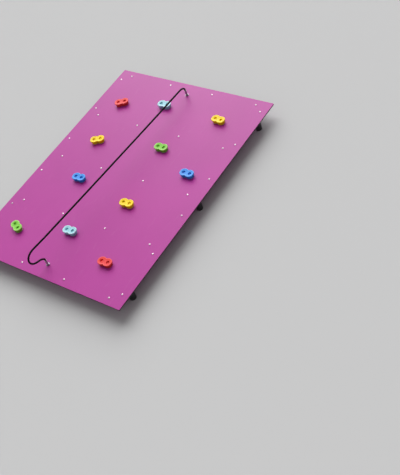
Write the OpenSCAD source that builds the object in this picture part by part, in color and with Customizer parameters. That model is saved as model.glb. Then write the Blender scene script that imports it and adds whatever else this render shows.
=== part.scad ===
// Climbing wall for an embankment: a coloured sheet panel on a steel
// subframe with six short posts, eleven two-bolt climbing holds and a
// climbing rope fixed at both ends.
// Origin: on the foundation plane under the six base plates, below the
// middle of the panel. X runs across the slope, Y runs uphill, Z is up.
// Every piece is drawn in slope coordinates (across, up the slope,
// away from the slope) and then tilted by the slope angle.

/* [Slope] */
// Horizontal run of the slope for one unit of rise
slope_run = 2; // [1.8:0.1:2.4]

/* [Panel] */
// Width of the panel across the slope
panel_w = 1800; // [1780:5:1820]
// How far the sheet sits to the right of the middle line of the frame
panel_shift = 7; // [0:1:12]
// Length of the panel up the slope
panel_l = 2500; // [2480:5:2540]
// Thickness of the panel sheet
panel_t = 13; // [10:1:16]
// Radius of the panel corners
panel_corner_r = 6; // [2:1:12]

/* [Subframe] */
// Width of a side rail
rail_w = 60; // [50:5:70]
// Depth of the side rails and crossbars, away from the slope
rail_h = 40; // [30:5:50]
// Width of a crossbar
bar_w = 40; // [30:5:50]
// Wall of the rails and crossbars
rail_wall = 3; // [2:0.5:4]
// Distance of a side rail's centre line from the middle
rail_x = 837; // [830:1:840]
// Length of a side rail
rail_l = 2430; // [2420:5:2440]
// Distance between crossbars
bar_pitch = 592; // [585:1:596]

/* [Posts and base plates] */
// Outer diameter of a post
post_d = 60.3; // [48.3, 60.3]
// Wall of a post
post_wall = 3; // [2:0.5:4]
// Free length of a post between base plate and rail
post_l = 97; // [80:1:140]
// Distance of the end posts from the middle pair
post_pitch = 1035; // [1000:5:1060]
// Diameter of a base plate
plate_d = 150; // [140:5:170]
// Thickness of a base plate
plate_t = 8; // [6:1:12]
// Diameter of the circle of anchor holes
anchor_pcd = 115; // [105:1:120]
// Diameter of an anchor hole
anchor_hole_d = 14; // [12:1:16]

/* [Holds] */
// Distance between the two bolts of a hold
hold_bolt_pitch = 64; // [60:1:70]
// Length of a hold over its two lobes
hold_l = 138; // [130:1:160]
// Width of a hold across a lobe
hold_w = 88; // [80:1:100]
// Height of a hold
hold_h = 41; // [36:1:46]
// Diameter of the recess over each hold bolt
hold_recess_d = 26; // [24:1:30]

/* [Rope] */
// Diameter of the rope
rope_d = 16; // [14:1:18]
// Diameter of the swaged ferrules
ferrule_d = 22; // [20:1:26]
// Distance of each rope fixing from the middle
rope_fix_y = 1110; // [1100:1:1120]
// Height of the ferrule's mouth over the panel face
ferrule_h = 60; // [50:1:62]

/* [Hidden] */

slope_deg = atan(1 / slope_run);
rail_n = plate_t + post_l;           // underside of the rails
panel_n = rail_n + rail_h;           // underside of the panel
face_n = panel_n + panel_t;          // climbing face

screw_x = [-750, -250, 250, 750];    // crossbar screws across the panel
screw_pitch = 445;                   // side rail screws up the panel
screw_hole_d = 9;
bolt_d = 10;
seat_h = 16;                         // plastic left under a hold bolt's washer
stud_d = 12;

// Place and turn of every hold: across, up the slope, degrees
hold_red_upper_at        = [-589,  802,  34];
hold_light_blue_upper_at = [-125,  904,   4];
hold_yellow_upper_at     = [ 525,  880,  -3];
hold_yellow_left_at      = [-506,  284,  31];
hold_green_middle_at     = [ 189,  397,   2];
hold_blue_right_at       = [ 621,  196,   1];
hold_blue_left_at        = [-366, -189,   4];
hold_yellow_middle_at    = [ 287, -293,   4];
hold_light_blue_lower_at = [ -29, -743,   4];
hold_green_lower_at      = [-565, -889, -25];
hold_red_lower_at        = [ 508, -909,   3];
HOLDS = [hold_red_upper_at, hold_light_blue_upper_at, hold_yellow_upper_at,
  hold_yellow_left_at, hold_green_middle_at, hold_blue_right_at,
  hold_blue_left_at, hold_yellow_middle_at, hold_light_blue_lower_at,
  hold_green_lower_at, hold_red_lower_at];

// The rope's route: up the slope, height over the climbing face
ROUTE = [[-1110, 60], [-1111, 73], [-1116, 86], [-1126, 97], [-1140, 105],
  [-1164, 112], [-1190, 120], [-1218, 135], [-1240, 160], [-1249, 192],
  [-1240, 223], [-1218, 246], [-1186, 257], [-1148, 257], [-1094, 251],
  [-1000, 242], [-850, 232], [-600, 215], [-300, 195], [0, 176],
  [300, 157], [600, 139], [850, 125], [970, 119], [1030, 116],
  [1065, 113], [1087, 107], [1102, 93], [1109, 76], [1110, 60]];

function wave(a, b, c, d, t) = 0.5 * ((2 * b) + (c - a) * t
  + (2 * a - 5 * b + 4 * c - d) * t * t + (3 * b - a - 3 * c + d) * t * t * t);
function at(i) = i < 0 ? [ROUTE[0][0], ROUTE[0][1] - 13]
  : i >= len(ROUTE) ? [ROUTE[len(ROUTE) - 1][0], ROUTE[len(ROUTE) - 1][1] - 16] : ROUTE[i];
// Points along the route, about three and a half diameters apart on the long run
LINE = concat([for (i = [0 : len(ROUTE) - 2])
    let (steps = max(1, round(norm(at(i + 1) - at(i)) / (3.5 * rope_d))))
    for (k = [0 : steps - 1]) wave(at(i - 1), at(i), at(i + 1), at(i + 2), k / steps)],
  [at(len(ROUTE) - 1)]);
function heading(i) = i == 0 || i == len(LINE) - 1 ? (i == 0 ? [0, 1] : [0, -1])
  : (LINE[i + 1] - LINE[i - 1]) / norm(LINE[i + 1] - LINE[i - 1]);

module on_slope() rotate([slope_deg, 0, 0]) children();
module on_face() on_slope() translate([0, 0, face_n]) children();
module at_hold(p) translate([p[0], p[1], 0]) rotate([0, 0, p[2]]) children();

// Flat rectangle with round corners
module round_rect(w, h, r) {
  square([w - 2 * r, h], center = true);
  square([w, h - 2 * r], center = true);
  for (x = [-1, 1], y = [-1, 1])
    translate([x * (w / 2 - r), y * (h / 2 - r)]) circle(r = r, $fn = 32);
}

module panel() color([0.73, 0.33, 0.61]) on_slope() translate([0, 0, panel_n])
  difference() {
    translate([panel_shift, 0, 0])
      linear_extrude(panel_t) round_rect(panel_w, panel_l, panel_corner_r);
    for (p = HOLDS, s = [-1, 1]) at_hold(p) translate([s * hold_bolt_pitch / 2, 0, -1])
      cylinder(d = bolt_d + 1, h = panel_t + 2, $fn = 32);
    for (x = screw_x, k = [-2 : 2]) translate([x, k * bar_pitch, -1])
      cylinder(d = screw_hole_d, h = panel_t + 2, $fn = 32);
    for (x = [-1, 1], k = [-5 : 2 : 5]) translate([x * rail_x, k * screw_pitch / 2, -1])
      cylinder(d = screw_hole_d, h = panel_t + 2, $fn = 32);
    for (y = [-1, 1]) translate([0, y * rope_fix_y, -1])
      cylinder(d = stud_d + 1, h = panel_t + 2, $fn = 32);
  }

// Rectangular hollow section with its length along Y
module hollow_y(w, h, l, wall) translate([0, l / 2, 0]) rotate([90, 0, 0]) linear_extrude(l)
  difference() {
    translate([0, h / 2]) round_rect(w, h, 5);
    translate([0, h / 2]) round_rect(w - 2 * wall, h - 2 * wall, 2);
  }

module side_rail(side) color([0.12, 0.12, 0.13]) on_slope()
  translate([side * rail_x, 0, rail_n]) difference() {
    hollow_y(rail_w, rail_h, rail_l, rail_wall);
    for (k = [-5 : 2 : 5]) translate([0, k * screw_pitch / 2, rail_h - rail_wall - 1])
      cylinder(d = 8.4, h = rail_wall + 2, $fn = 32);
  }

module crossbar(k) color([0.12, 0.12, 0.13]) on_slope()
  translate([0, k * bar_pitch, rail_n]) difference() {
    rotate([0, 0, 90]) hollow_y(bar_w, rail_h, 2 * rail_x - rail_w, rail_wall);
    for (x = screw_x) translate([x, 0, rail_h - rail_wall - 1])
      cylinder(d = 8.4, h = rail_wall + 2, $fn = 32);
  }

module post(side, k) color([0.12, 0.12, 0.13]) on_slope()
  translate([side * rail_x, k * post_pitch, plate_t]) difference() {
    cylinder(d = post_d, h = post_l, $fn = 48);
    translate([0, 0, -1]) cylinder(d = post_d - 2 * post_wall, h = post_l + 2, $fn = 48);
  }

module base_plate(side, k) color([0.55, 0.56, 0.58]) on_slope()
  translate([side * rail_x, k * post_pitch, 0]) difference() {
    cylinder(d = plate_d, h = plate_t, $fn = 64);
    for (a = [45 : 90 : 315]) rotate([0, 0, a]) translate([anchor_pcd / 2, 0, -1])
      cylinder(d = anchor_hole_d, h = plate_t + 2, $fn = 32);
  }

module rail_end_caps() color([0.06, 0.06, 0.07]) on_slope()
  for (x = [-1, 1], y = [-1, 1]) translate([x * rail_x, y * rail_l / 2, rail_n + rail_h / 2])
    rotate([90, 0, y > 0 ? 180 : 0]) {
      linear_extrude(4) round_rect(rail_w, rail_h, 5);
      translate([0, 0, -18]) linear_extrude(18)
        round_rect(rail_w - 2 * rail_wall - 0.6, rail_h - 2 * rail_wall - 0.6, 2);
    }

// Button head screw with a socket, head resting on the climbing face
module button_screw() difference() {
  union() {
    rotate_extrude($fn = 48) polygon([[0, 0], [8.25, 0], [8.25, 0.8], [7.6, 2.2],
      [6.4, 3.4], [4.7, 4.3], [2.5, 4.8], [0, 5]]);
    translate([0, 0, -28]) cylinder(d = 8, h = 28.5, $fn = 32);
    translate([0, 0, -32]) cylinder(d1 = 3, d2 = 8, h = 4, $fn = 32);
  }
  translate([0, 0, 2.2]) cylinder(d = 5.8, h = 4, $fn = 6);
}

module rail_screws() color([0.85, 0.86, 0.88]) on_face()
  for (x = [-1, 1], k = [-5 : 2 : 5]) translate([x * rail_x, k * screw_pitch / 2, 0])
    button_screw();

module crossbar_screws() color([0.85, 0.86, 0.88]) on_face()
  for (x = screw_x, k = [-2 : 2]) translate([x, k * bar_pitch, 0]) button_screw();

// Round lobe of a hold: the wall leans in from the rim down to the foot
module lobe() let (r = hold_w / 2, h = hold_h) rotate_extrude($fn = 64) polygon([[0, 0],
  [r - 7.5, 0], [r - 9.3, 6], [r - 8.2, 14], [r - 4.8, 20], [r - 1.2, 26], [r, 31],
  [r - 0.5, h - 5], [r - 3, h - 2], [r - 8, h], [0, h]]);

// Two-lobed climbing hold with two recessed bolt holes
module hold(p, tone) color(tone) on_face() at_hold(p) difference() {
  for (s = [-1, 1]) translate([s * (hold_l - hold_w) / 2, 0, 0]) lobe();
  for (s = [-1, 1]) translate([s * hold_bolt_pitch / 2, 0, 0]) {
    translate([0, 0, -1]) cylinder(d = bolt_d + 1, h = hold_h, $fn = 32);
    translate([0, 0, seat_h]) cylinder(d = hold_recess_d, h = hold_h, $fn = 48);
  }
}

// Socket cap bolt of a hold, from its head down through the panel
module cap_bolt() difference() {
  union() {
    translate([0, 0, seat_h + 2]) cylinder(d = 16, h = 10, $fn = 48);
    translate([0, 0, -panel_t - 16]) cylinder(d = bolt_d, h = panel_t + seat_h + 18.5, $fn = 32);
  }
  translate([0, 0, seat_h + 6.5]) cylinder(d = 9.2, h = 8, $fn = 6);
}

module at_hold_bolts() on_face() for (p = HOLDS, s = [-1, 1])
  at_hold(p) translate([s * hold_bolt_pitch / 2, 0, 0]) children();

module hold_bolts() color([0.30, 0.31, 0.33]) at_hold_bolts() cap_bolt();

module hold_washers() color([0.75, 0.76, 0.78]) at_hold_bolts()
  translate([0, 0, seat_h]) difference() {
    cylinder(d = 21, h = 2, $fn = 48);
    translate([0, 0, -1]) cylinder(d = bolt_d + 0.5, h = 4, $fn = 32);
  }

// Hexagon flange nut under the panel
module flange_nut(af, h, flange, bore) difference() {
  union() {
    translate([0, 0, -h]) cylinder(d = af / cos(30), h = h, $fn = 6);
    translate([0, 0, -2]) cylinder(d = flange, h = 2, $fn = 48);
  }
  translate([0, 0, -h - 1]) cylinder(d = bore, h = h + 2, $fn = 32);
}

module hold_nuts() color([0.75, 0.76, 0.78]) at_hold_bolts()
  translate([0, 0, -panel_t]) flange_nut(15, 10, 22, bolt_d + 0.2);

// One tube swept along the route in the middle plane of the wall
module rope() color([0.05, 0.05, 0.06]) on_face() {
  sides = 10;
  r = rope_d / 2;
  n = len(LINE);
  pts = [for (i = [0 : n - 1]) let (h = heading(i), u = [-h[1], h[0]])
    for (j = [0 : sides - 1]) let (a = 360 * j / sides)
      [r * cos(a), LINE[i][0] + r * sin(a) * u[0], LINE[i][1] + r * sin(a) * u[1]]];
  faces = concat([[for (j = [0 : sides - 1]) j]],
    [for (i = [0 : n - 2], j = [0 : sides - 1]) let (k = (j + 1) % sides)
      [i * sides + j, (i + 1) * sides + j, (i + 1) * sides + k, i * sides + k]],
    [[for (j = [sides - 1 : -1 : 0]) (n - 1) * sides + j]]);
  polyhedron(points = pts, faces = faces, convexity = 6);
}

// Swaged ferrule with the threaded stud that passes through the panel
module rope_ferrule(end) color([0.62, 0.60, 0.64]) on_face()
  translate([0, end * rope_fix_y, 0]) {
    rotate_extrude($fn = 64) polygon([[0, 3], [13, 3], [14, 4], [14, 9], [13, 10],
      [ferrule_d / 2, 12], [ferrule_d / 2, ferrule_h - 3], [ferrule_d / 2 - 1.5, ferrule_h],
      [0, ferrule_h]]);
    translate([0, 0, -panel_t - 22]) cylinder(d = stud_d, h = panel_t + 26, $fn = 48);
  }

module rope_washers() color([0.75, 0.76, 0.78]) on_face()
  for (y = [-1, 1]) translate([0, y * rope_fix_y, 0]) {
    rotate_extrude($fn = 64) polygon([[stud_d / 2 + 0.3, 0], [19, 0], [19, 1.2], [17.5, 3],
      [stud_d / 2 + 0.3, 3]]);
    translate([0, 0, -panel_t - 3]) rotate_extrude($fn = 64)
      translate([stud_d / 2 + 0.3, 0]) square([18 - stud_d / 2, 3]);
  }

module rope_nuts() color([0.75, 0.76, 0.78]) on_face()
  for (y = [-1, 1]) translate([0, y * rope_fix_y, -panel_t - 3])
    flange_nut(18, 12, 24, stud_d + 0.2);

panel();
side_rail(-1);  // side_rail_left
side_rail(1);  // side_rail_right
crossbar(-2);  // crossbar_bottom
crossbar(-1);  // crossbar_lower
crossbar(0);  // crossbar_middle
crossbar(1);  // crossbar_upper
crossbar(2);  // crossbar_top
post(-1, -1);  // post_bottom_left
post(-1, 0);  // post_middle_left
post(-1, 1);  // post_top_left
post(1, -1);  // post_bottom_right
post(1, 0);  // post_middle_right
post(1, 1);  // post_top_right
base_plate(-1, -1);  // base_plate_bottom_left
base_plate(-1, 0);  // base_plate_middle_left
base_plate(-1, 1);  // base_plate_top_left
base_plate(1, -1);  // base_plate_bottom_right
base_plate(1, 0);  // base_plate_middle_right
base_plate(1, 1);  // base_plate_top_right
rail_end_caps();
rail_screws();
crossbar_screws();
hold(hold_red_upper_at, [0.93, 0.20, 0.16]);  // hold_red_upper
hold(hold_light_blue_upper_at, [0.55, 0.83, 0.95]);  // hold_light_blue_upper
hold(hold_yellow_upper_at, [0.98, 0.83, 0.05]);  // hold_yellow_upper
hold(hold_yellow_left_at, [0.98, 0.83, 0.05]);  // hold_yellow_left
hold(hold_green_middle_at, [0.42, 0.76, 0.20]);  // hold_green_middle
hold(hold_blue_right_at, [0.15, 0.42, 0.90]);  // hold_blue_right
hold(hold_blue_left_at, [0.15, 0.42, 0.90]);  // hold_blue_left
hold(hold_yellow_middle_at, [0.98, 0.83, 0.05]);  // hold_yellow_middle
hold(hold_light_blue_lower_at, [0.55, 0.83, 0.95]);  // hold_light_blue_lower
hold(hold_green_lower_at, [0.42, 0.76, 0.20]);  // hold_green_lower
hold(hold_red_lower_at, [0.93, 0.20, 0.16]);  // hold_red_lower
hold_bolts();
hold_washers();
hold_nuts();
rope();
rope_ferrule(-1);  // rope_ferrule_bottom
rope_ferrule(1);  // rope_ferrule_top
rope_washers();
rope_nuts();
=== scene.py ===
import math

import bpy
import numpy as np
from mathutils import Matrix, Vector


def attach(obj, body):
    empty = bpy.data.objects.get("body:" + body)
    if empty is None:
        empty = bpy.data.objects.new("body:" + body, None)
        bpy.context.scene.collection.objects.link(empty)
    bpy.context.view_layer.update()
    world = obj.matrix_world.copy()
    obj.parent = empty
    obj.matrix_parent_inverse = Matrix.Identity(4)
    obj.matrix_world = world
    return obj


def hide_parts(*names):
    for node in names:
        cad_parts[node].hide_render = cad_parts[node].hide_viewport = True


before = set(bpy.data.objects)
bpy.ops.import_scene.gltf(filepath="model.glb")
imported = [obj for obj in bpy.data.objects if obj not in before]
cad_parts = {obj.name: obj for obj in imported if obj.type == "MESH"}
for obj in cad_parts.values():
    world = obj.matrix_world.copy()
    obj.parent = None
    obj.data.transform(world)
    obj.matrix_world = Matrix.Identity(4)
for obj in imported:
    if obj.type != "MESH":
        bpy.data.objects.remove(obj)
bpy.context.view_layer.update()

# ---------------------------------------------------------------- the frame
# Slope coordinates in metres: x across, v up the slope, n away from the slope.
SLOPE = math.atan(0.5)
SN, CS = math.sin(SLOPE), math.cos(SLOPE)
FACE = 0.158          # climbing face over the foundation plane
PANEL_T = 0.013
UNDER = FACE - PANEL_T
RAIL_N = 0.105        # underside of the rails
RAIL_X = 0.837
GROUND_N = 0.014      # finished embankment surface


def P(p):
    """Slope coordinates to the row frame, for one point or an array of them."""
    p = np.asarray(p, float)
    x, v, n = p[..., 0], p[..., 1], p[..., 2]
    return np.stack([x, v * CS - n * SN, v * SN + n * CS], axis=-1)


HOLDS = {
    "hold_red_upper": (-0.589, 0.802, 34),
    "hold_light_blue_upper": (-0.125, 0.904, 4),
    "hold_yellow_upper": (0.525, 0.880, -3),
    "hold_yellow_left": (-0.506, 0.284, 31),
    "hold_green_middle": (0.189, 0.397, 2),
    "hold_blue_right": (0.621, 0.196, 1),
    "hold_blue_left": (-0.366, -0.189, 4),
    "hold_yellow_middle": (0.287, -0.293, 4),
    "hold_light_blue_lower": (-0.029, -0.743, 4),
    "hold_green_lower": (-0.565, -0.889, -25),
    "hold_red_lower": (0.508, -0.909, 3)}
BOLT = 0.032          # half the distance between a hold's bolts
SCREW_X = (-0.75, -0.25, 0.25, 0.75)
BAR_V = [k * 0.592 for k in range(-2, 3)]
SIDE_V = [k * 0.2225 for k in range(-5, 6, 2)]
POST_V = [k * 1.035 for k in (-1, 0, 1)]
FIX_V = 1.110
ROUTE = [(-1110, 60), (-1111, 73), (-1116, 86), (-1126, 97), (-1140, 105),
         (-1164, 112), (-1190, 120), (-1218, 135), (-1240, 160), (-1249, 192),
         (-1240, 223), (-1218, 246), (-1186, 257), (-1148, 257), (-1094, 251),
         (-1000, 242), (-850, 232), (-600, 215), (-300, 195), (0, 176),
         (300, 157), (600, 139), (850, 125), (970, 119), (1030, 116),
         (1065, 113), (1087, 107), (1102, 93), (1109, 76), (1110, 60)]
ROPE_D = 0.016

# ---------------------------------------------------------------- camera
scene = bpy.context.scene
cam_data = bpy.data.cameras.new("camera")
cam = bpy.data.objects.new("camera", cam_data)
scene.collection.objects.link(cam)
right = Vector((0.807584, 0.589733, 0.004821)).normalized()
ahead = Vector((-0.523103, 0.720067, -0.455924)).normalized()
up = right.cross(ahead).normalized()
right = ahead.cross(up).normalized()
cam.matrix_world = Matrix((
    (right.x, up.x, -ahead.x, 4.9039),
    (right.y, up.y, -ahead.y, -5.6004),
    (right.z, up.z, -ahead.z, 3.2677),
    (0, 0, 0, 1)))
cam_data.sensor_fit = "AUTO"
cam_data.sensor_width = 36
cam_data.lens = 873.56 * 36 / 475
cam_data.clip_start = 0.05
cam_data.clip_end = 400
cam_data.dof.use_dof = False
scene.camera = cam
scene.view_settings.view_transform = "Standard"
scene.view_settings.look = "None"


# ---------------------------------------------------------------- mesh tools
class Shape:
    """Points, faces and a material index for every face, joined piece by piece."""

    def __init__(self):
        self.v, self.f, self.m, self.n = [], [], [], 0

    def add(self, verts, faces, mat=0):
        verts = np.asarray(verts, float).reshape(-1, 3)
        self.v.append(verts)
        self.f += [tuple(i + self.n for i in f) for f in faces]
        self.m += list(mat) if hasattr(mat, "__len__") else [mat] * len(faces)
        self.n += len(verts)
        return self


def loft(loops, closed_ends=(True, True)):
    """Quads between loops of the same number of points, with a cap at each end."""
    k = len(loops[0])
    v = np.concatenate(loops)
    f = []
    for i in range(len(loops) - 1):
        a, b = i * k, (i + 1) * k
        for j in range(k):
            j2 = (j + 1) % k
            f.append((a + j, a + j2, b + j2, b + j))
    if closed_ends[0]:
        f.append(tuple(range(k - 1, -1, -1)))
    if closed_ends[1]:
        f.append(tuple((len(loops) - 1) * k + j for j in range(k)))
    return v, f


def turned(profile, seg=48, radius=None):
    """A lathe shape: profile is (r, z) from bottom to top; radius(phi, r, z) may change r."""
    phi = np.linspace(0, 2 * math.pi, seg, endpoint=False)
    loops = []
    for r, z in profile:
        rr = np.full(seg, r) if radius is None else radius(phi, r, z)
        loops.append(np.stack([rr * np.cos(phi), rr * np.sin(phi), np.full(seg, z)], 1))
    return loops


def hex_r(phi, af):
    """Distance to the side of a hexagon, in the direction phi."""
    t = (phi + math.pi / 6) % (math.pi / 3) - math.pi / 6
    return af / 2 / np.cos(t)


def place(verts, x=0.0, v=0.0, n=0.0, turn=0.0):
    """Local points to slope coordinates."""
    verts = np.asarray(verts, float)
    c, s = math.cos(turn), math.sin(turn)
    return np.stack([x + c * verts[:, 0] - s * verts[:, 1],
                     v + s * verts[:, 0] + c * verts[:, 1], n + verts[:, 2]], 1)


def make(name, shape, mats, nodes=(), smooth=True, sharp=35, attrs=None, flat=None):
    """A mesh piece in the row frame, riding on the root body."""
    me = bpy.data.meshes.new(name)
    co = P(np.concatenate(shape.v))
    me.from_pydata([tuple(c) for c in co], [], shape.f)
    for m in mats:
        me.materials.append(m)
    me.polygons.foreach_set("material_index", np.array(shape.m, np.int32))
    me.polygons.foreach_set("use_smooth", np.full(len(me.polygons), smooth, bool))
    if smooth and sharp is not None:
        me.set_sharp_from_angle(angle=math.radians(sharp))
    if flat is not None:
        me.polygons.foreach_set("use_smooth", ~np.asarray(flat, bool))
    for key, values in (attrs or {}).items():
        a = me.attributes.new(key, "FLOAT", "POINT")
        a.data.foreach_set("value", np.asarray(values, np.float32))
    me.validate()
    me.update()
    ob = bpy.data.objects.new(name, me)
    scene.collection.objects.link(ob)
    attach(ob, "root")
    if nodes:
        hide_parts(*nodes)
    return ob


def sweep(line, radius, sides=12, x_axis=(1, 0, 0), closed=False):
    """A tube along a line; radius is one number or one for every point."""
    line = np.asarray(line, float)
    if closed:
        t = np.roll(line, -1, 0) - np.roll(line, 1, 0)
    else:
        t = np.gradient(line, axis=0)
    t /= np.linalg.norm(t, axis=1, keepdims=True)
    ref = np.asarray(x_axis, float)
    radius = np.broadcast_to(np.asarray(radius, float), (len(line),))
    loops = []
    for i in range(len(line)):
        a = ref - t[i] * (ref @ t[i])
        a /= np.linalg.norm(a)
        b = np.cross(t[i], a)
        phi = np.linspace(0, 2 * math.pi, sides, endpoint=False)
        loops.append(line[i] + radius[i] * (np.cos(phi)[:, None] * a + np.sin(phi)[:, None] * b))
    if closed:
        k = sides
        v = np.concatenate(loops)
        f = []
        for i in range(len(loops)):
            a0, b0 = i * k, (i + 1) % len(loops) * k
            for j in range(k):
                j2 = (j + 1) % k
                f.append((a0 + j, a0 + j2, b0 + j2, b0 + j))
        return v, f
    return loft(loops)


# ---------------------------------------------------------------- materials
class Nodes:
    def __init__(self, name):
        self.mat = bpy.data.materials.new(name)
        self.mat.use_nodes = True
        self.t = self.mat.node_tree
        self.bsdf = next(n for n in self.t.nodes if n.type == "BSDF_PRINCIPLED")
        self.co = self.new("ShaderNodeTexCoord").outputs["Object"]

    def new(self, kind, **props):
        n = self.t.nodes.new(kind)
        for k, v in props.items():
            setattr(n, k, v)
        return n

    def link(self, a, b):
        self.t.links.new(a, b)

    def on_slope(self):
        """Coordinates that lie square to the panel."""
        m = self.new("ShaderNodeMapping", vector_type="POINT")
        m.inputs["Rotation"].default_value = (-SLOPE, 0, 0)
        self.link(self.co, m.inputs["Vector"])
        return m.outputs["Vector"]

    def scaled(self, co, scale):
        m = self.new("ShaderNodeMapping", vector_type="POINT")
        m.inputs["Scale"].default_value = scale
        self.link(co, m.inputs["Vector"])
        return m.outputs["Vector"]

    def noise(self, scale, detail=3, rough=0.55, co=None, distort=0.0):
        n = self.new("ShaderNodeTexNoise")
        n.inputs["Scale"].default_value = scale
        n.inputs["Detail"].default_value = detail
        n.inputs["Roughness"].default_value = rough
        n.inputs["Distortion"].default_value = distort
        self.link(co or self.co, n.inputs["Vector"])
        return n.outputs["Fac"]

    def ramp(self, fac, stops):
        r = self.new("ShaderNodeValToRGB")
        e = r.color_ramp.elements
        while len(e) < len(stops):
            e.new(0.5)
        for el, (pos, col) in zip(e, stops):
            el.position = pos
            el.color = (*col, 1) if hasattr(col, "__len__") else (col, col, col, 1)
        self.link(fac, r.inputs["Fac"])
        return r.outputs["Color"]

    def fit(self, fac, lo, hi, a=0.0, b=1.0):
        m = self.new("ShaderNodeMapRange")
        for k, x in (("From Min", a), ("From Max", b), ("To Min", lo), ("To Max", hi)):
            m.inputs[k].default_value = x
        self.link(fac, m.inputs["Value"])
        return m.outputs["Result"]

    def math(self, op, a, b):
        m = self.new("ShaderNodeMath", operation=op)
        for s, x in zip(m.inputs, (a, b)):
            if isinstance(x, (int, float)):
                s.default_value = x
            else:
                self.link(x, s)
        return m.outputs[0]

    def mix(self, fac, a, b):
        m = self.new("ShaderNodeMix", data_type="RGBA")
        for s, x in ((m.inputs[0], fac), (m.inputs[6], a), (m.inputs[7], b)):
            if isinstance(x, (int, float)):
                s.default_value = x
            elif isinstance(x, tuple):
                s.default_value = (*x, 1)
            else:
                self.link(x, s)
        return m.outputs[2]

    def bump(self, height, strength, distance, under=None):
        b = self.new("ShaderNodeBump")
        b.inputs["Strength"].default_value = strength
        b.inputs["Distance"].default_value = distance
        self.link(height, b.inputs["Height"])
        if under is not None:
            self.link(under, b.inputs["Normal"])
        return b.outputs["Normal"]

    def set(self, **values):
        for k, x in values.items():
            s = self.bsdf.inputs[k.replace("_", " ")]
            if isinstance(x, (int, float)):
                s.default_value = x
            elif isinstance(x, tuple):
                s.default_value = (*x, 1)
            else:
                self.link(x, s)
        return self.mat


def lin(r, g, b):
    """An sRGB colour, 0 to 255, as the linear numbers a shader takes."""
    return tuple(c / 12.92 if c <= 0.04045 else ((c + 0.055) / 1.055) ** 2.4
                 for c in (r / 255, g / 255, b / 255))


def dim(c, k):
    return tuple(x * k for x in c)


def panel_face():
    m = Nodes("panel_laminate")
    base = lin(172, 51, 145)
    flat = m.on_slope()
    cloud = m.noise(2.2, 2, 0.5)
    speck = m.noise(950, 2, 0.6)
    tone = m.mix(m.fit(cloud, 0, 1, 0.3, 0.7), dim(base, 0.97), dim(base, 1.03))
    tone = m.mix(m.fit(speck, 0, 0.16, 0.35, 0.75), tone, dim(base, 0.62))
    # Faint scuffs, longer up the slope, where feet slide
    scuff = m.noise(9, 5, 0.62, m.scaled(flat, (3.4, 0.6, 1)))
    rub = m.fit(scuff, 0, 1, 0.60, 0.74)
    tone = m.mix(m.math("MULTIPLY", rub, 0.05), tone, (0.60, 0.38, 0.54))
    rough = m.math("ADD", m.fit(speck, 0.46, 0.54), m.math("MULTIPLY", rub, 0.05))
    grain = m.bump(m.noise(1400, 2, 0.5), 0.25, 0.0002)
    pebble = m.bump(m.noise(330, 2, 0.5), 0.14, 0.0004, grain)
    return m.set(Base_Color=tone, Roughness=rough, Normal=pebble, Specular_IOR_Level=0.15)


def panel_core():
    m = Nodes("panel_core")
    flat = m.on_slope()
    wave = m.new("ShaderNodeTexWave", wave_type="BANDS", bands_direction="Z", wave_profile="SIN")
    wave.inputs["Scale"].default_value = 520
    wave.inputs["Distortion"].default_value = 0.4
    m.link(flat, wave.inputs["Vector"])
    tone = m.mix(m.fit(wave.outputs["Fac"], 0, 1), lin(38, 20, 32), lin(58, 30, 48))
    fine = m.noise(700, 3)
    return m.set(Base_Color=tone, Roughness=m.fit(fine, 0.42, 0.62), Normal=m.bump(wave.outputs["Fac"], 0.15, 0.0003))


def powder(name, col):
    m = Nodes(name)
    tone = m.mix(m.fit(m.noise(14, 3), 0, 1, 0.3, 0.7), dim(col, 0.85), dim(col, 1.2))
    peel = m.bump(m.noise(420, 2, 0.5), 0.22, 0.0005)
    return m.set(Base_Color=tone, Roughness=m.fit(m.noise(60, 4), 0.36, 0.5), Normal=peel)


def metal(name, col, low, high, scale=300, turned_marks=False):
    m = Nodes(name)
    n = m.noise(scale, 4, 0.6)
    tone = m.mix(m.fit(n, 0, 1, 0.3, 0.7), dim(col, 0.9), col)
    bump = m.bump(m.noise(1600, 2), 0.12, 0.0001)
    if turned_marks:
        wave = m.new("ShaderNodeTexWave", wave_type="BANDS", bands_direction="Z", wave_profile="SIN")
        wave.inputs["Scale"].default_value = 420
        wave.inputs["Distortion"].default_value = 0.6
        m.link(m.on_slope(), wave.inputs["Vector"])
        bump = m.bump(wave.outputs["Fac"], 0.10, 0.0002, bump)
    return m.set(Base_Color=tone, Metallic=1.0, Roughness=m.fit(m.noise(90, 4), low, high), Normal=bump)


def hold_plastic(name, col, light):
    m = Nodes(name)
    worn = m.new("ShaderNodeAttribute", attribute_name="edge").outputs["Fac"]
    cloud = m.noise(26, 4, 0.6)
    speck = m.noise(1100, 2, 0.6)
    tone = m.mix(m.fit(cloud, 0, 1, 0.3, 0.7), dim(col, 0.93), col)
    tone = m.mix(m.fit(speck, 0.0, 0.22, 0.4, 0.75), tone, light)
    tone = m.mix(m.math("MULTIPLY", worn, m.fit(m.noise(120, 4), 0.45, 0.85, 0.35, 0.7)), tone, light)
    # Painted shade: the lower wall by the foot is darkened part way towards a third of the colour, where the leaning
    # wall lies in shade
    foot = m.new("ShaderNodeAttribute", attribute_name="foot").outputs["Fac"]
    tone = m.mix(m.math("MULTIPLY", foot, 0.45), tone, dim(col, 0.35))
    grit = m.bump(m.noise(820, 3, 0.65), 0.42, 0.0009)
    coarse = m.bump(m.noise(150, 3, 0.5), 0.18, 0.0012, grit)
    return m.set(Base_Color=tone, Roughness=m.fit(speck, 0.46, 0.62), Normal=coarse,
                 Specular_IOR_Level=0.18)


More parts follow.
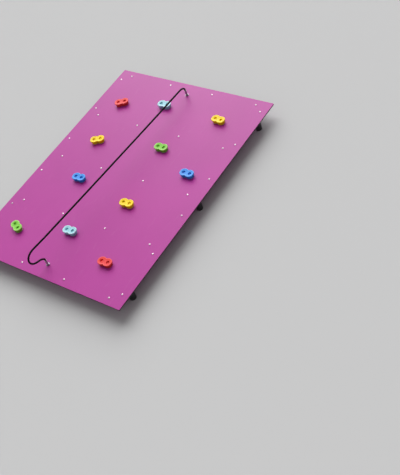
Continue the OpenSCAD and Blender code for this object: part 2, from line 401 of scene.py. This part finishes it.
def rope_fibre():
    m = Nodes("rope_fibre")
    uv = m.new("ShaderNodeUVMap", uv_map="lay").outputs["UV"]
    yarn = m.new("ShaderNodeTexWave", wave_type="BANDS", bands_direction="DIAGONAL", wave_profile="SIN")
    yarn.inputs["Scale"].default_value = 1.0
    yarn.inputs["Distortion"].default_value = 1.2
    yarn.inputs["Detail"].default_value = 2
    m.link(m.scaled(uv, (1.0, 1.0, 1.0)), yarn.inputs["Vector"])
    fuzz = m.noise(900, 3, 0.6)
    tone = m.mix(m.fit(yarn.outputs["Fac"], 0, 1), lin(9, 8, 10), lin(22, 20, 24))
    tone = m.mix(m.fit(fuzz, 0, 0.5, 0.45, 0.8), tone, lin(36, 34, 38))
    h = m.bump(yarn.outputs["Fac"], 0.5, 0.0006)
    h = m.bump(fuzz, 0.3, 0.0003, h)
    return m.set(Base_Color=tone, Roughness=m.fit(fuzz, 0.7, 0.9), Normal=h, Specular_IOR_Level=0.12)


def moulded(name, col):
    m = Nodes(name)
    tone = m.mix(m.fit(m.noise(30, 3), 0, 1, 0.3, 0.7), dim(col, 0.9), dim(col, 1.15))
    return m.set(Base_Color=tone, Roughness=m.fit(m.noise(500, 3), 0.45, 0.6),
                 Normal=m.bump(m.noise(900, 2), 0.2, 0.0002))


M_FACE, M_CORE = panel_face(), panel_core()
M_FRAME = powder("frame_powder_coat", lin(30, 30, 32))
M_STEEL = metal("stainless_steel", (0.68, 0.62, 0.655), 0.46, 0.58)
M_BOLT = metal("bolt_zinc", (0.10, 0.10, 0.11), 0.34, 0.48)
M_WASHER = metal("washer_steel", (0.16, 0.15, 0.165), 0.42, 0.55)
M_FERRULE = metal("ferrule_steel", (0.46, 0.43, 0.47), 0.38, 0.50, 200, True)
M_CAP = moulded("cap_plastic", lin(28, 28, 30))
M_ROPE = rope_fibre()
HOLD_MATS = {
    "red": hold_plastic("hold_plastic_red", (0.79, 0.036, 0.036), (0.88, 0.14, 0.13)),
    "yellow": hold_plastic("hold_plastic_yellow", (0.94, 0.655, 0.003), (0.97, 0.76, 0.035)),
    "green": hold_plastic("hold_plastic_green", (0.19, 0.58, 0.035), (0.52, 0.78, 0.27)),
    "blue": hold_plastic("hold_plastic_blue", (0.034, 0.265, 0.80), (0.15, 0.42, 0.89)),
    "light_blue": hold_plastic("hold_plastic_light_blue", (0.31, 0.63, 0.73), (0.68, 0.85, 0.90))}

HEAD_MATS = {
    "red": moulded("bolt_coat_red", (0.90, 0.062, 0.066)),
    "yellow": moulded("bolt_coat_yellow", (0.95, 0.78, 0.004)),
    "green": moulded("bolt_coat_green", (0.26, 0.68, 0.050)),
    "blue": moulded("bolt_coat_blue", (0.065, 0.36, 0.90)),
    "light_blue": moulded("bolt_coat_light_blue", (0.38, 0.76, 0.86))}


# ---------------------------------------------------------------- rope
def route_line(step=0.002):
    pts = np.array(ROUTE, float) / 1000
    ext = np.vstack([pts[0] - (0, 0.013), pts, pts[-1] - (0, 0.016)])
    out = []
    for i in range(1, len(ext) - 2):
        a, b, c, d = ext[i - 1], ext[i], ext[i + 1], ext[i + 2]
        k = max(2, int(np.linalg.norm(c - b) / 0.002))
        for t in np.arange(k) / k:
            out.append(0.5 * (2 * b + (c - a) * t + (2 * a - 5 * b + 4 * c - d) * t * t
                              + (3 * b - a - 3 * c + d) * t ** 3))
    out.append(ext[-2])
    out = np.array(out)
    # Start and end 8 mm inside the ferrules
    out = np.vstack([[pts[0] - (0, 0.008)], out, [pts[-1] - (0, 0.008)]])

    def even(q, h):
        s = np.concatenate([[0], np.cumsum(np.linalg.norm(np.diff(q, axis=0), axis=1))])
        t = np.linspace(0, s[-1], int(s[-1] / h) + 1)
        return np.stack([np.interp(t, s, q[:, k]) for k in range(2)], 1)
    q = even(out, step)
    for _ in range(60):  # iron out the listed points' small kinks, ends kept
        r = q.copy()
        r[6:-6] = 0.5 * q[6:-6] + 0.25 * (q[5:-7] + q[7:-5])
        q = r
    return even(q, step)


def rope_mesh(line, strands=6, lay=0.105, per=10):
    """Strands laid round a core, as one closed skin that follows the line."""
    k = strands * per
    rc = ROPE_D / 2 / (1 + math.sin(math.pi / strands))
    rs = ROPE_D / 2 - rc
    phi = np.linspace(0, 2 * math.pi, k, endpoint=False)
    d = (phi + math.pi / strands) % (2 * math.pi / strands) - math.pi / strands
    r = rc * np.cos(d) + np.sqrt(np.maximum(rs ** 2 - (rc * np.sin(d)) ** 2, 0))
    tan = np.gradient(line, axis=0)
    tan /= np.linalg.norm(tan, axis=1, keepdims=True)
    s = np.concatenate([[0], np.cumsum(np.linalg.norm(np.diff(line, axis=0), axis=1))])
    loops = []
    for i in range(len(line)):
        a = phi + 2 * math.pi * s[i] / lay
        u = np.array([-tan[i][1], tan[i][0]])
        grip = min(1.0, max(0.0, (min(s[i], s[-1] - s[i]) - 0.010) / 0.022))
        q = r * (1.0 + 0.09 * grip * grip * (3 - 2 * grip))
        loops.append(np.stack([q * np.cos(a), line[i][0] + q * np.sin(a) * u[0],
                               FACE + line[i][1] + q * np.sin(a) * u[1]], 1))
    v, f = loft(loops)
    return v, f, s, k


line2 = route_line(0.004)
v, f, s_along, k_around = rope_mesh(line2)
rope = make("climbing_rope", Shape().add(v, f), [M_ROPE], ["rope"], sharp=None)
lay_uv = rope.data.uv_layers.new(name="lay")
uv = np.zeros((len(rope.data.loops), 2), np.float32)
vi = np.zeros(len(rope.data.loops), np.int32)
rope.data.loops.foreach_get("vertex_index", vi)
ring, around = vi // k_around, (vi % k_around).astype(float)
start = np.zeros(len(rope.data.polygons), np.int32)
total = np.zeros(len(rope.data.polygons), np.int32)
rope.data.polygons.foreach_get("loop_start", start)
rope.data.polygons.foreach_get("loop_total", total)
for a, n in zip(start, total):
    if n == 4 and around[a:a + 4].max() - around[a:a + 4].min() > k_around / 2:
        seg = around[a:a + 4]
        seg[seg == 0] = k_around
uv[:, 0] = s_along[np.minimum(ring, len(s_along) - 1)] * 170
uv[:, 1] = around / k_around * 18
lay_uv.data.foreach_set("uv", uv.ravel())


# ---------------------------------------------------------------- panel
def sheet_with_holes(name, outline, holes, thick, bevel, res, seg=40):
    """A flat sheet with rounded edges, from a filled curve: outline points and (x, y, r) holes."""
    cu = bpy.data.curves.new(name, "CURVE")
    cu.dimensions = "2D"
    cu.fill_mode = "BOTH"
    loops = [outline]
    for x, y, r in holes:
        a = np.linspace(0, 2 * math.pi, seg, endpoint=False)
        loops.append([(x + r * math.cos(t), y + r * math.sin(t)) for t in a])
    for pts in loops:
        sp = cu.splines.new("POLY")
        sp.points.add(len(pts) - 1)
        for q, (x, y) in zip(sp.points, pts):
            q.co = (x, y, 0, 1)
        sp.use_cyclic_u = True
    cu.extrude = thick / 2 - bevel
    cu.bevel_depth = bevel
    cu.bevel_resolution = res
    cu.offset = -bevel
    ob = bpy.data.objects.new(name + "_curve", cu)
    me = bpy.data.meshes.new_from_object(ob)
    bpy.data.objects.remove(ob)
    bpy.data.curves.remove(cu)
    import bmesh
    bm = bmesh.new()
    bm.from_mesh(me)
    bmesh.ops.remove_doubles(bm, verts=bm.verts, dist=1e-6)
    bmesh.ops.recalc_face_normals(bm, faces=bm.faces)
    bm.verts.ensure_lookup_table()
    v = np.array([q.co for q in bm.verts])
    f = [tuple(q.index for q in face.verts) for face in bm.faces]
    nz = [face.normal.z for face in bm.faces]
    bm.free()
    bpy.data.meshes.remove(me)
    return v, f, nz


def rect_outline(w, h, r, n=10):
    pts = []
    for cx, cy, a0 in ((1, 1, 0), (-1, 1, 90), (-1, -1, 180), (1, -1, 270)):
        for i in range(n + 1):
            a = math.radians(a0 + 90 * i / n)
            pts.append((cx * (w / 2 - r) + r * math.cos(a), cy * (h / 2 - r) + r * math.sin(a)))
    return pts


holes = []
for x, v_, deg in HOLDS.values():
    for s in (-1, 1):
        holes.append((x + s * BOLT * math.cos(math.radians(deg)), v_ + s * BOLT * math.sin(math.radians(deg)), 0.0055))
holes += [(x, v_, 0.0045) for x in SCREW_X for v_ in BAR_V]
holes += [(x * RAIL_X, v_, 0.0045) for x in (-1, 1) for v_ in SIDE_V]
holes += [(0, s * FIX_V, 0.0065) for s in (-1, 1)]
edge = [(x + 0.007, y) for x, y in rect_outline(1.8, 2.5, 0.006)]
v, f, nz = sheet_with_holes("panel", edge, holes, PANEL_T, 0.0012, 3, 24)
v[:, 2] += FACE - PANEL_T / 2
make("panel_sheet", Shape().add(v, f, [0 if abs(z) > 0.55 else 1 for z in nz]), [M_FACE, M_CORE],
     ["panel"], sharp=40, flat=[abs(z) > 0.999 for z in nz])


# ---------------------------------------------------------------- base plates
plates = {}
for side, sx in (("left", -1), ("right", 1)):
    for nm, vk in zip(("bottom", "middle", "top"), POST_V):
        a = np.linspace(0, 2 * math.pi, 96, endpoint=False)
        rim = [(0.075 * math.cos(t), 0.075 * math.sin(t)) for t in a]
        hs = [(0.0575 * math.cos(math.radians(d)), 0.0575 * math.sin(math.radians(d)), 0.007) for d in (45, 135, 225, 315)]
        v, f, pz = sheet_with_holes("plate", rim, hs, 0.008, 0.001, 2, 32)
        v[:, 2] += 0.004
        make(f"base_plate_{nm}_{side}_piece", Shape().add(place(v, sx * RAIL_X, vk, 0), f), [M_FRAME],
             [f"base_plate_{nm}_{side}"], sharp=40, flat=[abs(z) > 0.999 for z in pz])


# ---------------------------------------------------------------- frame, posts and welds
for name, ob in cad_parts.items():
    if name.startswith(("side_rail", "crossbar_", "post_")) and "screws" not in name:
        ob.data.materials.clear()
        ob.data.materials.append(M_FRAME)

rng = np.random.default_rng(7)
weld = Shape()
for sx in (-1, 1):
    for vk in POST_V:
        for n, r in ((0.008, 0.0045), (RAIL_N, 0.0035)):
            a = np.linspace(0, 2 * math.pi, 160, endpoint=False)
            ring_pts = np.stack([sx * RAIL_X + 0.0305 * np.cos(a), vk + 0.0305 * np.sin(a), np.full(160, n + (0.0012 if n < 0.05 else -0.0012))], 1)
            ripple = r * (0.86 + 0.14 * np.abs(np.sin(a * 20 + 1.3 * math.sin(vk * 5))))
            v, f = sweep(ring_pts, ripple, 10, (0, 0, 1), True)
            weld.add(v, f)
    for vk in BAR_V:
        xi = sx * (RAIL_X - 0.030)
        for dv in (-1, 1):
            z = np.linspace(RAIL_N + 0.004, UNDER - 0.004, 60)
            pts = np.stack([np.full(60, xi - sx * 0.001), np.full(60, vk + dv * 0.0205), z], 1)
            rad = 0.0038 * (0.84 + 0.16 * np.abs(np.sin(z * 900)))
            rad[:3] *= (0.5, 0.8, 0.95)
            rad[-3:] *= (0.95, 0.8, 0.5)
            v, f = sweep(pts, rad, 10, (1, 0, 0))
            weld.add(v, f)
        y = np.linspace(-0.0165, 0.0165, 60)
        pts = np.stack([np.full(60, xi - sx * 0.001), vk + y, np.full(60, RAIL_N + 0.0004)], 1)
        rad = 0.0034 * (0.84 + 0.16 * np.abs(np.sin(y * 900)))
        rad[:3] *= (0.5, 0.8, 0.95)
        rad[-3:] *= (0.95, 0.8, 0.5)
        v, f = sweep(pts, rad, 10, (1, 0, 0))
        weld.add(v, f)
make("weld_beads", weld, [M_FRAME], sharp=None)


def rounded_loop(w, h, r, z, n=8):
    return np.array([(x, y, z) for x, y in rect_outline(w, h, r, n)])


caps = Shape()
for sx in (-1, 1):
    for sy in (-1, 1):
        loops = [rounded_loop(0.0535, 0.0335, 0.0018, -0.018), rounded_loop(0.0535, 0.0335, 0.0018, 0.0),
                 rounded_loop(0.0592, 0.0392, 0.0048, 0.0001), rounded_loop(0.060, 0.040, 0.005, 0.0006),
                 rounded_loop(0.060, 0.040, 0.005, 0.0026), rounded_loop(0.0592, 0.0392, 0.0046, 0.0033),
                 rounded_loop(0.0572, 0.0372, 0.0040, 0.0038), rounded_loop(0.050, 0.030, 0.003, 0.0040)]
        v, f = loft(loops)
        # Local x across, y away from the slope, z along the rail's outward direction
        out = np.stack([sx * RAIL_X + v[:, 0] * -sy, sy * (1.215 + v[:, 2]), RAIL_N + 0.020 + v[:, 1]], 1)
        caps.add(out, f)
make("rail_caps", caps, [M_CAP], ["rail_end_caps"], sharp=35)


# ---------------------------------------------------------------- fasteners
def button_head():
    """Domed head with a six-lobe socket; local z = 0 on the panel face."""
    sh = Shape()
    prof = [(0.0040, -0.028), (0.0040, 0.0)]
    a = np.linspace(0, math.pi / 2, 9)
    dome = [(0.00825 * math.cos(t) ** 0.9 if t < 1.5 else 0, 0.0008 + 0.0042 * math.sin(t)) for t in a]
    prof = [(0.0016, -0.032), (0.0038, -0.0285)] + prof + [(0.0079, 0.0), (0.00825, 0.0003)] + \
        [d for d in dome if d[0] > 0.0040]
    loops = turned(prof, 48)
    lobe = lambda phi, r, z: r * (1 + 0.11 * np.cos(6 * phi))
    loops += turned([(0.0031, 0.00485), (0.0027, 0.0046), (0.0026, 0.0024)], 48, lobe)
    loops += turned([(0.0006, 0.0018)], 48)
    v, f = loft(loops)
    return v, f


bv, bf = button_head()
for name, spots in (("crossbar_screws", [(x, v_) for x in SCREW_X for v_ in BAR_V]),
                    ("rail_screws", [(x * RAIL_X, v_) for x in (-1, 1) for v_ in SIDE_V])):
    sh = Shape()
    for x, v_ in spots:
        sh.add(place(bv, x, v_, FACE, rng.uniform(0, 1.05)), bf)
    make(name + "_piece", sh, [M_STEEL], [name], sharp=38)


def thread(r, pitch, z0, z1, seg=28, per=6):
    """Loops of a screw thread from z0 up to z1."""
    n = int((z1 - z0) / pitch * per)
    phi = np.linspace(0, 2 * math.pi, seg, endpoint=False)
    loops = []
    for i in range(n + 1):
        z = z0 + (z1 - z0) * i / n
        tooth = np.abs(((z / pitch - phi / (2 * math.pi)) % 1) * 2 - 1)
        fade = min(1, (z - z0) / pitch + 0.15)
        rr = r - 0.0006 * (1 - tooth) * fade - (1 - fade) * 0.0008
        loops.append(np.stack([rr * np.cos(phi), rr * np.sin(phi), np.full(seg, z)], 1))
    return loops


def cap_screw():
    """Socket cap bolt; local z = 0 on the panel face, head in the recess."""
    seg = 36
    loops = turned([(0.0042, -0.0290)], seg) + thread(0.0050, 0.0015, -0.0285, -0.0140, seg)
    loops += turned([(0.0050, -0.0130), (0.0050, 0.0180), (0.0078, 0.0180), (0.0080, 0.0183), (0.0080, 0.0272),
                     (0.0076, 0.0279), (0.0070, 0.0280)], seg)
    hx = lambda phi, r, z: hex_r(phi, r)
    loops += turned([(0.0096, 0.0280), (0.0092, 0.0276), (0.0092, 0.0226)], seg, hx)
    loops += turned([(0.0010, 0.0212)], seg)
    return loft(loops)


def nut(af, h, flange, bore, seg=60):
    """Flange nut with chamfered corners, its face at local z = 0 and its body below."""
    hx = lambda phi, r, z: np.minimum(hex_r(phi, af), r)
    big = af / math.cos(math.pi / 6) / 2
    loops = turned([(bore / 2, -h + 0.0006), (bore / 2 + 0.0005, -h)], seg)
    loops += turned([(af / 2 * 0.94, -h), (af / 2 * 1.02, -h + 0.0004), (big, -h + 0.0016), (big, -0.0032)], seg, hx)
    loops += turned([(flange / 2 - 0.0012, -0.0018), (flange / 2, -0.0012), (flange / 2, -0.0002),
                     (flange / 2 - 0.0003, 0.0), (bore / 2, 0.0)], seg)
    v, f = loft(loops, (False, False))
    k, m = seg, len(loops)
    f += [((m - 1) * k + j, (m - 1) * k + (j + 1) % k, (j + 1) % k, j) for j in range(k)]
    return v, f


def washer(inner, outer, t, seg=48, c=0.0003):
    """A washer from z = 0 to t with broken edges."""
    loops = turned([(inner, 0.0), (outer - c, 0.0), (outer, c), (outer, t - c), (outer - c, t), (inner, t)], seg)
    v, f = loft(loops, (False, False))
    k, m = seg, len(loops)
    f += [((m - 1) * k + j, (m - 1) * k + (j + 1) % k, (j + 1) % k, j) for j in range(k)]
    return v, f


spots, spot_colour = [], []
for name, (x, v_, deg) in HOLDS.items():
    a = math.radians(deg)
    spots += [(x + s * BOLT * math.cos(a), v_ + s * BOLT * math.sin(a)) for s in (-1, 1)]
    spot_colour += [next(c for c in sorted(HEAD_MATS, key=len, reverse=True) if c in name)] * 2
for name, (gv, gf), mat, n, slot in (
        ("hold_bolts", cap_screw(), M_BOLT, FACE, "bolt_steel"),
        ("hold_washers", washer(0.00525, 0.0105, 0.002), M_STEEL, FACE + 0.016, "stainless"),
        ("hold_nuts", nut(0.015, 0.010, 0.022, 0.0102), M_STEEL, UNDER, "stainless")):
    sh = Shape()
    mats = [mat] if name != "hold_bolts" else [mat] + [HEAD_MATS[c] for c in sorted(HEAD_MATS)]
    for i, (x, v_) in enumerate(spots):
        tag = [0] * len(gf)
        if len(mats) > 1:
            # The head is coated in the colour of its hold, down to the washer
            c = 1 + sorted(HEAD_MATS).index(spot_colour[i])
            tag = [c if min(gv[q][2] for q in face) > 0.0175 else 0 for face in gf]
        sh.add(place(gv, x, v_, n, rng.uniform(0, 1.05)), gf, tag)
    make(name + "_piece", sh, mats, [name], sharp=35)


def ferrule_body():
    """Swaged ferrule with rolled grooves, a collar with spanner flats and its threaded stud."""
    seg = 64
    loops = turned([(0.0050, -0.0350)], seg) + thread(0.0060, 0.00175, -0.0345, -0.0140, seg, 6)
    loops += turned([(0.0060, -0.0130), (0.0060, 0.0030), (0.0126, 0.0030), (0.0138, 0.0036)], seg)
    flats = lambda phi, r, z: np.minimum(r, hex_r(phi, 0.0250))
    loops += turned([(0.0140, 0.0042), (0.0140, 0.0088), (0.0134, 0.0098)], seg, flats)
    loops += turned([(0.0112, 0.0106), (0.0110, 0.0122)], seg)
    z = 0.0150
    while z < 0.0500:
        loops += turned([(0.0110, z), (0.01045, z + 0.0010), (0.0101, z + 0.0020), (0.0101, z + 0.0044),
                         (0.01045, z + 0.0054), (0.0110, z + 0.0064)], seg)
        z += 0.0088
    loops += turned([(0.0110, 0.0560), (0.0108, 0.0580), (0.0101, 0.0592), (0.0094, 0.0596), (0.0086, 0.0594),
                     (0.0083, 0.0584), (0.0083, 0.0500)], seg)
    return loft(loops)


fv, ff = ferrule_body()
for end, sy in (("bottom", -1), ("top", 1)):
    make(f"rope_ferrule_{end}_piece", Shape().add(place(fv, 0, sy * FIX_V, FACE), ff), [M_FERRULE],
         [f"rope_ferrule_{end}"], sharp=38)
sh, sn = Shape(), Shape()
wv, wf = washer(0.0063, 0.0190, 0.003, 64, 0.0009)
uv_, uf = washer(0.0063, 0.0180, 0.003, 64, 0.0004)
nv, nf = nut(0.018, 0.012, 0.024, 0.0122)
for sy in (-1, 1):
    sh.add(place(wv, 0, sy * FIX_V, FACE), wf)
    sh.add(place(uv_, 0, sy * FIX_V, UNDER - 0.003), uf)
    sn.add(place(nv, 0, sy * FIX_V, UNDER - 0.003, 0.3), nf)
make("rope_washers_piece", sh, [M_WASHER], ["rope_washers"], sharp=35)
make("rope_nuts_piece", sn, [M_STEEL], ["rope_nuts"], sharp=35)


# ---------------------------------------------------------------- climbing holds
def smin(a, b, k):
    h = np.clip(0.5 + 0.5 * (b - a) / k, 0, 1)
    return b + (a - b) * h - k * h * (1 - h)


def smax(a, b, k):
    return -smin(-a, -b, k)


def hold_plan(x, y):
    """Distance outside the hold's outline: a soft rectangle drawn in at the waist."""
    def outline(a):
        c, s = np.cos(a), np.sin(a)
        return (1 - 0.22 * np.exp(-(c / 0.36) ** 2)) / \
            ((np.abs(c) / 69) ** 2.7 + (np.abs(s) / 44) ** 2.7 + 1e-12) ** (1 / 2.7)
    ang, r0 = np.arctan2(y, x), np.hypot(x, y)
    edge_r = outline(ang)
    slant = (outline(ang + 0.01) - outline(ang - 0.01)) / 0.02 / edge_r
    return (r0 - edge_r) / np.sqrt(1 + np.minimum(slant ** 2, 4))


def hold_field(x, y, z):
    """Signed distance, in millimetres, of the two-lobed hold; z = 0 on the panel face."""
    plan = hold_plan(x, y)
    # Grip: the wall leans in from the rim down to the foot
    lean = np.clip((31.0 - z) / 22.0, 0, 1)
    side = plan + 9.5 * lean * lean * (3 - 2 * lean) - 2.0 * np.exp(-(z / 4.0) ** 2)
    rim = np.clip(1 + plan / 22, 0, 1) ** 1.5
    top = 37.6 + 3.4 * rim - 1.5 * np.exp(-(x / 12.0) ** 2) - 0.012 * x + 0.010 * y
    body = smax(side, z - top, 6.0)
    d = smax(body, -z, 0.6)
    for cx in (-32, 32):
        r = np.hypot(x - cx, y)
        cut = smax(r - 13.0 - 0.35 * np.maximum(z - 31, 0), 16.0 - z, 1.2)
        d = smax(d, -cut, 2.5)
        d = smax(d, -(r - 5.5), 0.5)
    return d


def surface_net(field, lo, hi, step):
    """Quads on the zero surface of a field, pulled onto it, facing outwards."""
    ax = [np.arange(a, b + step, step) for a, b in zip(lo, hi)]
    g = np.meshgrid(*ax, indexing="ij")
    val = field(*g)
    neg = val < 0
    n = [len(a) - 1 for a in ax]
    total = np.zeros(n)
    acc = np.zeros((*n, 3))
    corner = [(i, j, k) for i in (0, 1) for j in (0, 1) for k in (0, 1)]
    sl = lambda c: tuple(slice(o, o + m) for o, m in zip(c, n))
    for a in corner:
        for axis in range(3):
            if a[axis]:
                continue
            b = list(a)
            b[axis] = 1
            va, vb = val[sl(a)], val[sl(b)]
            hit = (va < 0) != (vb < 0)
            t = np.where(hit, va / np.where(va == vb, 1, va - vb), 0)
            for q in range(3):
                pos = a[q] + (t if q == axis else 0)
                acc[..., q] += np.where(hit, pos, 0)
            total += hit
    cells = np.argwhere(total > 0)
    index = -np.ones(n, int)
    index[tuple(cells.T)] = np.arange(len(cells))
    pts = acc[tuple(cells.T)] / total[tuple(cells.T)][:, None] + cells
    pts = pts * step + np.array([a[0] for a in ax])
    faces = []
    for axis in range(3):
        u, w = (axis + 1) % 3, (axis + 2) % 3
        s0 = [slice(None)] * 3
        s1 = [slice(None)] * 3
        s0[axis], s1[axis] = slice(0, -1), slice(1, None)
        a, b = neg[tuple(s0)], neg[tuple(s1)]
        e = np.argwhere(a != b)
        e = e[(e[:, u] > 0) & (e[:, w] > 0) & (e[:, u] < n[u]) & (e[:, w] < n[w])]
        flip = a[tuple(e.T)]
        quad = []
        for du, dw in ((-1, -1), (0, -1), (0, 0), (-1, 0)):
            c = e.copy()
            c[:, u] += du
            c[:, w] += dw
            quad.append(index[tuple(c.T)])
        quad = np.stack(quad, 1)
        quad[~flip] = quad[~flip][:, ::-1]
        faces.append(quad)
    faces = np.concatenate(faces)
    h = 0.05
    for _ in range(4):
        x, y, z = pts.T
        d = field(x, y, z)
        grad = np.stack([field(x + h, y, z) - field(x - h, y, z), field(x, y + h, z) - field(x, y - h, z),
                         field(x, y, z + h) - field(x, y, z - h)], 1) / (2 * h)
        g2 = np.maximum((grad ** 2).sum(1), 0.05)
        pts = pts - np.clip(d / g2, -0.5 * step, 0.5 * step)[:, None] * grad
    return pts, faces


hv, hf = surface_net(hold_field, (-82, -54, -2.9), (82, 54, 48), 2.1)
# Painted shade at the foot: the lower 24 mm of the wall near the outline, darkened where the leaning wall is in shade.
# Where the rim is worn pale: along the top edge of the outline
X, Y, Z = hv.T
foot = np.clip((24.0 - Z) / 16, 0, 1) * (hold_plan(X, Y) > -14)
edge = np.exp(-((hold_plan(X, Y) + 4.0) / 4.5) ** 2) * np.clip((hv[:, 2] - 31) / 5, 0, 1)
for name, (x, v_, deg) in HOLDS.items():
    key = name.replace("hold_", "").rsplit("_", 1)[0]
    sh = Shape().add(place(hv / 1000, x, v_, FACE, math.radians(deg)), [tuple(q) for q in hf])
    make(name + "_piece", sh, [HOLD_MATS[key]], [name], sharp=50, attrs={"edge": edge, "foot": foot})


# ---------------------------------------------------------------- stage and light
def stage_material():
    m = Nodes("stage_ground")
    m.set(Base_Color=(0.52, 0.52, 0.522), Roughness=0.95, Specular_IOR_Level=0.1)
    geo = m.new("ShaderNodeNewGeometry")
    clear = m.new("ShaderNodeBsdfTransparent")
    mix = m.new("ShaderNodeMixShader")
    out = next(n for n in m.t.nodes if n.type == "OUTPUT_MATERIAL")
    m.link(geo.outputs["Backfacing"], mix.inputs[0])
    m.link(m.bsdf.outputs[0], mix.inputs[1])
    m.link(clear.outputs[0], mix.inputs[2])
    m.link(mix.outputs[0], out.inputs["Surface"])
    return m.mat


g = 40.0
me = bpy.data.meshes.new("stage_ground")
me.from_pydata([tuple(p) for p in P([(-g, -g, GROUND_N), (g, -g, GROUND_N), (g, g, GROUND_N), (-g, g, GROUND_N)])],
               [], [(0, 1, 2, 3)])
me.materials.append(stage_material())
ground = bpy.data.objects.new("stage_ground", me)
scene.collection.objects.link(ground)
ground.visible_shadow = False

world = bpy.data.worlds.new("studio")
scene.world = world
world.use_nodes = True
bg = next(n for n in world.node_tree.nodes if n.type == "BACKGROUND")
bg.inputs["Color"].default_value = (1.0, 1.0, 1.0, 1)
bg.inputs["Strength"].default_value = 0.38
wt = world.node_tree
pale = wt.nodes.new("ShaderNodeBackground")
pale.inputs["Color"].default_value = (0.86, 0.86, 0.865, 1)
pale.inputs["Strength"].default_value = 1.0
rays = wt.nodes.new("ShaderNodeLightPath")
either = wt.nodes.new("ShaderNodeMixShader")
wt.links.new(rays.outputs["Is Camera Ray"], either.inputs[0])
wt.links.new(bg.outputs[0], either.inputs[1])
wt.links.new(pale.outputs[0], either.inputs[2])
wt.links.new(either.outputs[0], next(n for n in wt.nodes if n.type == "OUTPUT_WORLD").inputs["Surface"])

sun_data = bpy.data.lights.new("key", "SUN")
sun_data.energy = 3.45
sun_data.angle = math.radians(64)
sun = bpy.data.objects.new("key", sun_data)
scene.collection.objects.link(sun)
to_light = Vector(P((-0.68, 0.82, 0.95)))
sun.rotation_euler = to_light.to_track_quat("Z", "Y").to_euler()

# A weak fill from underneath, for the frame's sake; the panel keeps it off everything above
fill_data = bpy.data.lights.new("fill", "SUN")
fill_data.energy = 0.5
fill_data.angle = math.radians(20)
fill = bpy.data.objects.new("fill", fill_data)
scene.collection.objects.link(fill)
fill.rotation_euler = Vector(P((0.12, -0.15, -1.0))).to_track_quat("Z", "Y").to_euler()

# A broad reflection panel behind the wall: it only shows as gloss
sheen_data = bpy.data.lights.new("sheen", "AREA")
sheen_data.shape = "RECTANGLE"
sheen_data.size, sheen_data.size_y = 7.0, 4.0
sheen_data.energy = 900
sheen = bpy.data.objects.new("sheen", sheen_data)
scene.collection.objects.link(sheen)
away = Vector(P((-0.40, 0.78, 0.44))).normalized()
sheen.location = away * 9.0
sheen.rotation_euler = away.to_track_quat("Z", "Y").to_euler()
sheen.visible_diffuse = False
sheen.visible_camera = False
